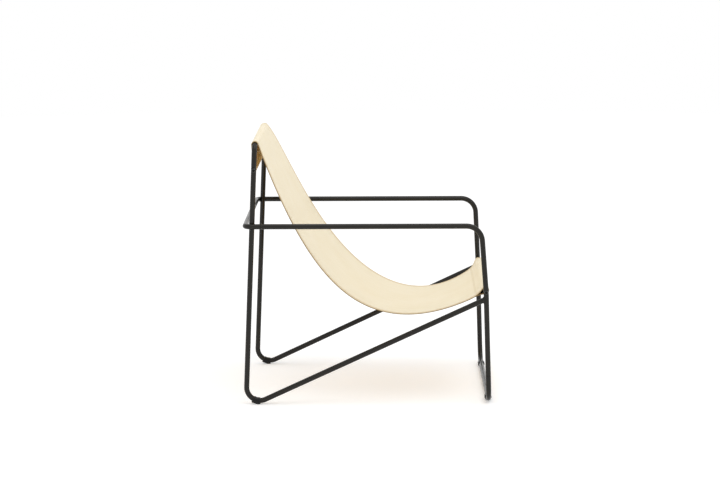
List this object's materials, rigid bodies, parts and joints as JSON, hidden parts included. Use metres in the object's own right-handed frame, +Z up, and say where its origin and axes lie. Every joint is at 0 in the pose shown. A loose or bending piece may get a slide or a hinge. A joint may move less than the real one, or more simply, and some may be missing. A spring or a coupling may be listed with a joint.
{
  "type": "sling lounge chair",
  "caption": "Low lounge chair: a leather sling hung between the rails of a bent black steel tube frame with level looped armrests.",
  "frame": {"origin": "centre of the footprint box on the floor", "axes": "+X to the front of the seat, +Y to the sitter's left, +Z up"},
  "size_m": [0.7524, 0.6384, 0.7993],
  "materials": {
    "powder_coat": "fine satin powder coat, near-black",
    "black_fasteners": "black oxide",
    "bare_steel": "plain turned steel",
    "glide_plastic": "matt moulded plastic",
    "sling_leather": "smooth undyed cream leather, matt, tan flesh side and burnished brown edges"
  },
  "bodies": {
    "root": {"back_top_rail": "powder_coat", "rear_arm_bar": "powder_coat", "front_floor_bar": "powder_coat", "front_seat_rail": "powder_coat", "back_sling_rail": "powder_coat", "rear_leg_left": "powder_coat", "rear_leg_right": "powder_coat", "armrest_left": "powder_coat", "armrest_right": "powder_coat", "front_seat_bolt_left": "black_fasteners", "front_seat_bolt_right": "black_fasteners", "front_seat_washer_left": "black_fasteners", "front_seat_washer_right": "black_fasteners", "back_sling_bolt_left": "black_fasteners", "back_sling_bolt_right": "black_fasteners", "back_sling_washer_left": "black_fasteners", "back_sling_washer_right": "black_fasteners", "back_spigot_left": "bare_steel", "back_spigot_right": "bare_steel", "arm_spigot_left": "bare_steel", "arm_spigot_right": "bare_steel", "floor_spigot_left": "bare_steel", "floor_spigot_right": "bare_steel", "front_seat_insert_left": "bare_steel", "front_seat_insert_right": "bare_steel", "rear_glide_left": "glide_plastic", "rear_glide_right": "glide_plastic", "front_glide_left": "glide_plastic", "front_glide_right": "glide_plastic", "leather_sling": "sling_leather"}
  },
  "joints": []
}
